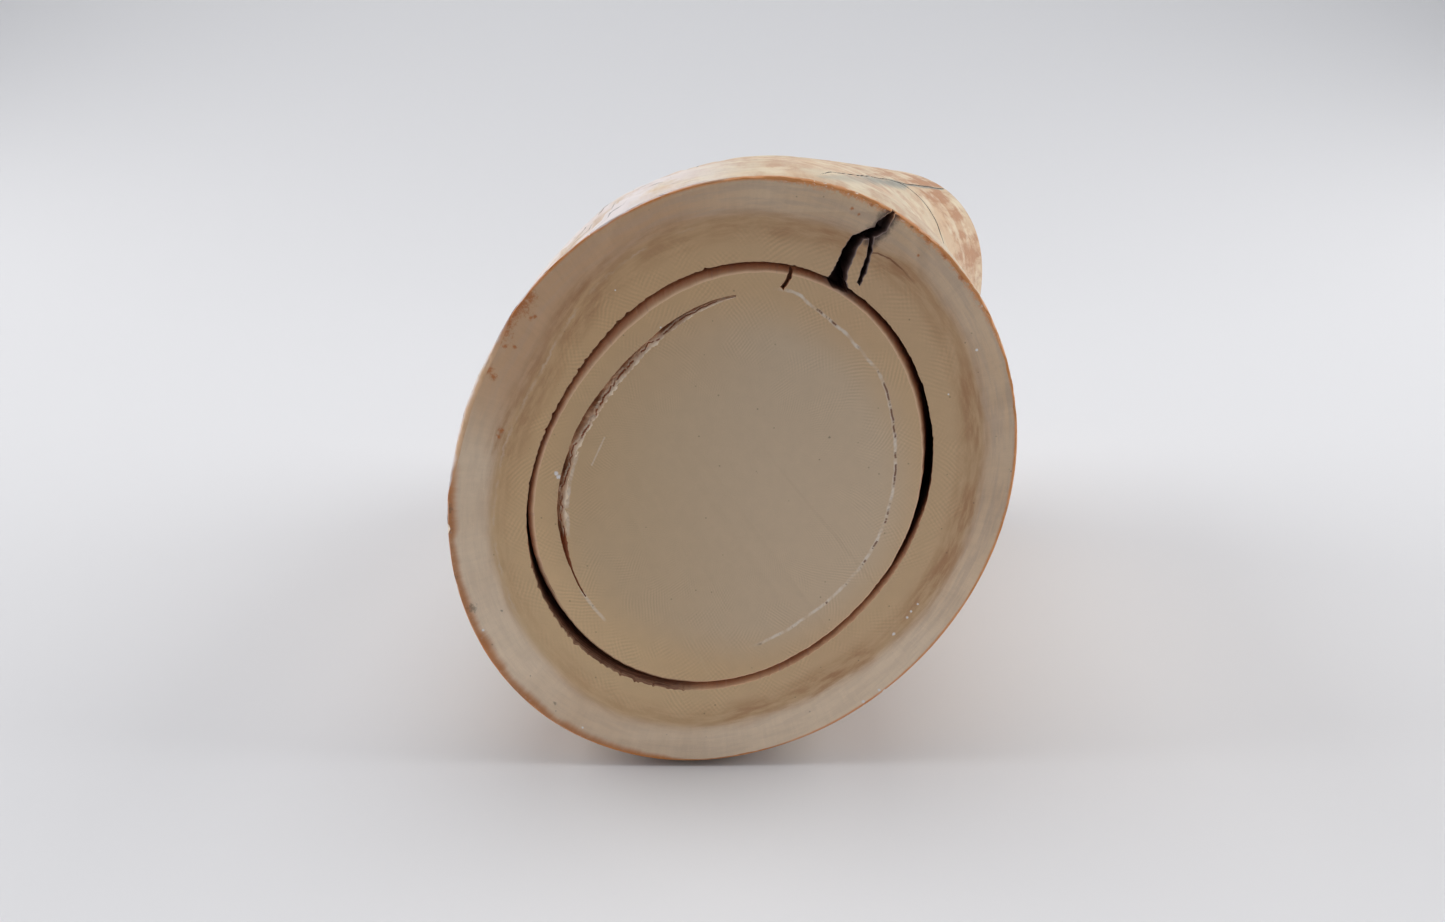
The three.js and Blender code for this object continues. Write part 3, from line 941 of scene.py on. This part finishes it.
nearRim = {
    "oval": (tusk["longHalf"], tusk["shortHalf"], tusk["lean"]),
    "outlineWaves": [(tusk["cutLobes"], 3, -3 * tusk["cutLobesAt"])],
    "band": (36.7, 30.9, rad(58.8)),
    "shift": (0.88, 0.28),
    "bandWaves": [(0.46, 3, rad(49)), (0.15, 4, rad(-53)), (0.31, 5, rad(-201))],
}
farSize = 1 + tusk["swell"] - tusk["farShrink"]
farRim = {
    "oval": (tusk["longHalf"] * farSize, tusk["shortHalf"] * farSize, tusk["lean"] + tusk["twist"]),
    "outlineWaves": [(tusk["cutLobes"], 3, -3 * tusk["cutLobesAt"]),
                     (tusk["farCorners"], 4, -4 * tusk["farCornersAt"]),
                     (tusk["farLobes"], 3, -3 * tusk["farLobesAt"])],
    "band": (38.3, 32.6, tusk["lean"] + tusk["twist"]),
    "shift": (0.4, 0.2),
    "bandWaves": [(2.3, 4, -4 * tusk["farCornersAt"]), (0.19, 3, -3 * tusk["farLobesAt"])],
}

barkTones = {
    "cream": tone(220, 202, 172),
    "honey": tone(218, 186, 150),
    "milk": tone(236, 220, 190),
    "brown": tone(188, 138, 100),
    "deepBrown": tone(132, 92, 66),
    "chalk": tone(236, 227, 226),
    "plum": tone(104, 84, 82),
    "slate": tone(134, 138, 130),
    "rim": tone(212, 132, 62),
    "bevel": tone(222, 174, 124),
}

# Grey stain beside the long crack: round the skin from +X and along the tusk, in millimetres
stainGirth = 41
stainPath = (
    (52.6, 3.5), (49.9, 8), (47.4, 16), (44.8, 34), (42.8, 56), (40.8, 96), (39.9, 112),
    (39.2, 130), (38.6, 147)
)


def barkMaterial():
    s = Surface("wornBark", barkTones)
    dirX, dirZ, along = s.dirX, s.dirZ, s.along
    polished = s.towards(50, 0.3, 0.8)

    # lengthwise streaks, drawn out far along the tusk
    broad = s.around(1.8, along * 0.03, 4, 0.55, 0.6)
    streaks = s.around(7, along * 0.014, 6, 0.62)
    fineStreaks = s.around(26, along * 0.02, 4, 0.6)
    s.colour = s.mix(broad.rise(0.36, 0.62), "cream", "honey")
    s.paint("brown", streaks.rise(0.52, 0.74) * (0.7 - 0.4 * polished))
    s.paint("deepBrown", fineStreaks.rise(0.58, 0.76) * (0.35 - 0.25 * polished))
    s.paint("cream", fineStreaks.fall(0.28, 0.42) * 0.45)

    # soft brown patches, most by the far cut and underneath, crossed by growth rings
    rings = s.around(2.2, along * 0.5, 5, 0.6)
    fineRings = s.around(3, along * 1.6, 3, 0.6)
    farShoulder = along.rise(112, 124) * s.towards(30, 0.4, 0.85)
    farTop = along.rise(60, 120) * s.towards(84, 0.8, 0.98)
    under = s.towards(270, 0.1, 0.9)
    patchy = s.around(4.5, along * 0.11, 4, 0.6)
    smear = s.around(16, along * 0.06, 4, 0.6)
    where = farShoulder * 0.9 + farTop * 0.5 + under * 0.5 + s.towards(72, 0.85, 0.97) * 0.3 + 0.4
    browned = where * (patchy * 0.6 + smear * 0.4).rise(0.42, 0.58)
    crossing = 0.25 * rings.rise(0.35, 0.65) + 0.15 * fineRings + 0.45 * smear.rise(0.4, 0.58)
    s.paint("brown", browned * (0.25 + crossing))
    creamy = s.around(7, along * 0.12 + 40, 4, 0.6).rise(0.5, 0.64)
    s.paint("milk", creamy * polished * 0.6)

    # flaky side: chalky layers, each edge a thin plum line
    flaky = s.towards(152, 0.35, 0.72)
    nearCut = along.fall(16, 62)
    chalky = s.around(4, along * 0.05, 5, 0.6).rise(0.28, 0.5)
    s.paint("chalk", flaky * chalky * (0.45 + 0.45 * nearCut))
    layer = s.attribute("layer") + (s.around(24, along * 0.5, 4, 0.6) - 0.5) * 0.4
    broken = s.around(5, along * 0.22, 4, 0.6).rise(0.42, 0.58)
    thin = (layer.maths("FRACT") - 0.9).clear().fall(0.04, 0.14) * broken
    s.paint("plum", thin * s.towards(160, 0.2, 0.6) * (0.22 + 0.68 * nearCut))
    bared = s.attribute("lost").rise(0.1, 0.6) * (1 - polished) * along.rise(8, 30)
    s.paint("honey", bared * 0.4)

    # grey stain on one side of the long crack, widest before the crack forks
    cloudy = s.around(9, along * 0.08, 4, 0.6)
    away = s.fromLine(s.angle * stainGirth, along, stainPath)
    stainWidth = 0.4 + 1.3 * along.fall(104, 118)
    stain = (away / stainWidth + (cloudy - 0.5) * 2.4).fall(0.3, 1.5)
    s.paint("slate", stain * (0.4 + 0.35 * along.rise(30, 80)))

    # orange-brown where the skin meets the saw cuts, pale on the rubbed bevel
    seep = s.around(14, along * 0.6)
    bevelled = s.towards(161, 0.94, 0.985)
    quick = 1 + 3 * flaky * (1 - bevelled)
    edge = (along * quick + (seep - 0.5) * 1.2).fall(0.1, 0.8) + along.rise(149.3, 149.9)
    rimColour = s.mix(bevelled, "rim", "bevel")
    s.paint(rimColour, edge * 0.85)
    mottle = s.around(16, along * 0.4, 4, 0.6)
    s.shade(0.9 + mottle * 0.2)
    roughness = 0.42 + flaky * 0.22 + (mottle - 0.5) * 0.2
    fine = s.around(60, along * 0.5, 4, 0.6)
    height = fine * 0.6 + streaks * 0.8 + thin * -0.8
    return s.finish(roughness, height, 0.12, 0.35)


crackTones = {
    # mouth, brown and dark carry painted light and painted shade down the gap's walls
    "mouth": tone(238, 200, 162),
    "brown": tone(214, 164, 130),
    "dark": tone(204, 164, 148),
    "streak": tone(242, 208, 178),
    "stained": tone(150, 134, 132),
    "soot": tone(142, 98, 76),
}


radialMiddle = (17.6, 31.6)  # of the radial crack, across and up


def crackMaterial():
    # brown, painted paler at the mouth as painted light where light reaches in, and darker further down
    # as painted shade; lengthwise streaks
    s = Surface("crackWall", crackTones)
    dirX, dirZ, depth = s.dirX, s.dirZ, s.along
    grain = s.around(45, depth * 0.12, 4, 0.6)
    drift = s.around(3, depth * 0.2)
    deepness = depth + (drift - 0.5) * 2
    # painted light: the pale mouth tone stands for light reaching into the gap
    s.colour = s.mix(deepness.rise(-0.2, 1.4), "mouth", "brown")
    s.paint("streak", grain.rise(0.52, 0.72) * 0.4)
    s.paint("dark", grain.fall(0.3, 0.45) * 0.5)
    # painted shade: darker deeper in the gap
    s.paint("dark", deepness.rise(2, 9))
    # layered and darker low on the left
    layered = s.around(7, depth * 2.6, 4, 0.65)
    lowLeft = s.towards(232, 0.84, 0.93)
    s.paint("soot", lowLeft * (0.35 + 0.6 * layered.rise(0.35, 0.6)))
    # the radial crack is stained dark all the way
    offX, offZ = s.across - radialMiddle[0], s.up - radialMiddle[1]
    radial = (offX * offX + offZ * offZ).maths("SQRT").fall(4.6, 6.4)
    s.paint("stained", radial * 0.85)
    return s.finish(0.6 + grain * 0.2, grain, 0.1, 0.25)


crustTones = {
    # powder is white crust and partly painted light; pocket, shadow and dark step down into painted shade
    "powder": tone(255, 232, 204),
    "pocket": tone(228, 188, 152),
    "shadow": tone(166, 112, 78),
    "dark": tone(98, 58, 40),
    "vein": tone(150, 74, 36),
}


def crustMaterial():
    # pale powder pockets between the crack's edges, palest by the inner edge as painted light, painted
    # shade brown under the outer edge and a painted shadow dark at it; a brown vein along it
    s = Surface("crust", crustTones)
    x, z, dirX, dirZ = s.across, s.up, s.dirX, s.dirZ
    aside = s.attribute("aside")  # -1 at the crack's inner edge, 1 at its outer edge
    cloudy = s.flat(1.1, s.along, 4, 0.65)
    pockets = s.around(5, 8, 2)
    # painted light and shade: pale powder, partly painted light where the inner wall would be lit, then
    # painted shade and painted shadow towards the outer edge
    paintedShadeSide = aside + (pockets - 0.5) * 4 + (cloudy - 0.5) * 1.4
    s.colour = s.mix(paintedShadeSide.rise(-1.3, 0.1), "powder", "pocket")
    s.paint("shadow", paintedShadeSide.rise(-0.2, 1))
    s.paint("dark", paintedShadeSide.rise(0.9, 1.8) * 0.9)
    wander = (s.around(6.5, 4, 4, 0.55) - 0.5) * 4.6 - 0.2
    fromVein = aside - wander
    ridge = (fromVein - 0.32).clear().fall(0.1, 0.34) * cloudy.rise(0.4, 0.6)
    s.paint("powder", ridge * 0.8)
    vein = fromVein.clear().fall(0.08, 0.22) * s.around(15, 1, 2).rise(0.4, 0.5)
    s.paint("vein", vein * 0.9)
    lower = s.towards(208, 0.974, 0.985)  # the groove closes to a brown line here
    s.paint("vein", lower * 0.9)
    return s.finish(0.75 + cloudy * 0.1, cloudy + vein * -0.4 + ridge * 0.5, 0.12, 0.2)


chipTones = {"clean": tone(244, 230, 212), "skinned": tone(222, 164, 108)}
greyTones = {"pale": tone(104, 104, 96), "deep": tone(82, 76, 68)}


def chipMaterial():
    s = Surface("freshChip", chipTones)
    cloudy = s.flat(1.5, s.along * 1.5, 4, 0.6)
    s.colour = s.mix(cloudy.rise(0.45, 0.75), "clean", "skinned")
    return s.finish(0.6 + cloudy * 0.1, cloudy, 0.1, 0.25)


def greyCrackMaterial():
    s = Surface("greyCrack", greyTones)
    cloudy = s.around(12, s.along * 0.3, 4, 0.6)
    s.colour = s.mix(cloudy.rise(0.4, 0.6), "pale", "deep")
    return s.finish(0.7 + cloudy * 0.1, cloudy, 0.05, 0.2)


def tuskSection():
    finishes.extend((cutMaterial("sawnFace", nearRim, True), cutMaterial("farFace", farRim, False),
                     barkMaterial(), crackMaterial(), crustMaterial(), chipMaterial(),
                     greyCrackMaterial()))
    body = straightTusk()
    print("skin laid out:", len(body.data.vertices), "points")
    cutters = [ringCrack(), innerCrack()]
    for name, crack in faceCracks.items():
        cutters.append(outlineCutter(name, **crack))
    cutters.append(rimChips())
    for name, crack in skinCracks.items():
        cutters.append(skinCrack(name, **crack))
    carve(body, cutters)
    mesh = body.data
    print("cracks and chips cut:", len(mesh.polygons), "faces")

    flat = np.empty(len(mesh.vertices) * 3)
    mesh.vertices.foreach_get("co", flat)
    straight = flat.reshape(-1, 3)
    place = straight.copy()
    place[:, 2] -= middleHeight(straight[:, 1])
    mesh.attributes.new("straight", "FLOAT_VECTOR", "POINT").data.foreach_set("vector", place.ravel())
    angle, radius = np.arctan2(place[:, 2], place[:, 0]), np.hypot(place[:, 0], place[:, 2])
    aside = (radius - innerMiddle(angle)) / innerWidth(angle) * 2
    values = {"lost": barkLoss(angle, place[:, 1]) / skin["barkStep"],
              "layer": layerField(angle, place[:, 1]), "aside": np.clip(aside, -3, 3)}
    for name, value in values.items():
        mesh.attributes.new(name, "FLOAT", "POINT").data.foreach_set("value", value)

    start = next(mount["pos_m"] for mount in frame["record"]["mounts"] if mount["name"] == "front_cut")
    mesh.vertices.foreach_set("co", bend(straight, start).ravel())
    mesh.update()
    mesh.shade_smooth()
    mesh.set_sharp_from_angle(angle=rad(38))
    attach(body, "root")
    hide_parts("tusk_section")
    print("tusk bent and coloured")
    return body


studio = {
    "halfWidth": 2.6,
    "front": -0.22,  # the paper ends here, so the foot of the sawn face gets more light back than its top
    "back": 0.5,  # where the paper starts to rise
    "bend": 1.8,
    "wall": 0.5,
    "paperTone": tone(221, 220, 221),
    "skyTone": tone(230, 237, 248),
    "sky": 0.3,
    # watts, place, point aimed at, size
    "softboxes": {
        "leftLight": (11.8, (-1.2, 0.2, 0.72), (0, 0.05, 0.03), 1.1),
        "rightLight": (13.1, (1.2, 0.2, 0.72), (0, 0.05, 0.03), 1.1),
        "topLight": (6.1, (0, 0.16, 1.25), (0, 0.12, 0), 1.2),
        "paperLeft": (4.8, (-0.8, 1.1, 1.5), (-1.0, 2.5, 0.7), 1.2),
        "paperRight": (3.0, (0.8, 1.1, 1.5), (1.0, 2.5, 0.7), 1.2),
    },
}


def paperSweep():
    # a sheet of pale paper, flat under the tusk and curved up behind it
    profile = [(studio["front"], 0.0), (studio["back"], 0.0)]
    for step in range(1, 25):
        turn = math.pi / 2 * step / 24
        rise = studio["bend"] * (1 - math.cos(turn))
        profile.append((studio["back"] + studio["bend"] * math.sin(turn), rise))
    profile.append((studio["back"] + studio["bend"], studio["bend"] + studio["wall"]))
    half = studio["halfWidth"]
    points = [(side * half, along, up) for along, up in profile for side in (-1, 1)]
    faces = [(2 * i, 2 * i + 1, 2 * i + 3, 2 * i + 2) for i in range(len(profile) - 1)]
    mesh = bpy.data.meshes.new("paperSweep")
    mesh.from_pydata(points, [], faces)
    mesh.shade_smooth()
    paper = linked("paperSweep", mesh)
    material = bpy.data.materials.new("palePaper")
    material.use_nodes = True
    shader = material.node_tree.nodes["Principled BSDF"]
    shader.inputs["Base Color"].default_value = studio["paperTone"]
    shader.inputs["Roughness"].default_value = 0.6
    shader.inputs["Specular IOR Level"].default_value = 0.2
    mesh.materials.append(material)


def softLight():
    world = bpy.data.worlds.new("paleRoom")
    bpy.context.scene.world = world
    world.use_nodes = True
    background = world.node_tree.nodes["Background"]
    background.inputs["Color"].default_value = studio["skyTone"]
    background.inputs["Strength"].default_value = studio["sky"]
    for name, (watts, place, target, size) in studio["softboxes"].items():
        lamp = bpy.data.lights.new(name, "AREA")
        lamp.size = size
        lamp.energy = watts
        holder = linked(name, lamp)
        holder.location = place
        holder.rotation_euler = (Vector(target) - holder.location).to_track_quat("-Z", "Y").to_euler()


view = {
    "place": (-11.258 * mm, -239.54 * mm, 86.68 * mm),
    "tipDown": rad(14.48),
    "lens": 29.79,  # on a sensor 36 mm wide
    "sensor": 36.0,
}


def camera():
    lens = bpy.data.cameras.new("camera")
    lens.lens = view["lens"]
    lens.sensor_width = view["sensor"]
    lens.clip_start = 0.01
    lens.clip_end = 20
    holder = linked("camera", lens)
    holder.location = view["place"]
    holder.rotation_euler = (math.pi / 2 - view["tipDown"], 0, 0)
    bpy.context.scene.camera = holder


camera()
tuskSection()
paperSweep()
softLight()
bpy.context.scene.view_settings.view_transform = "Standard"
print("studio set")
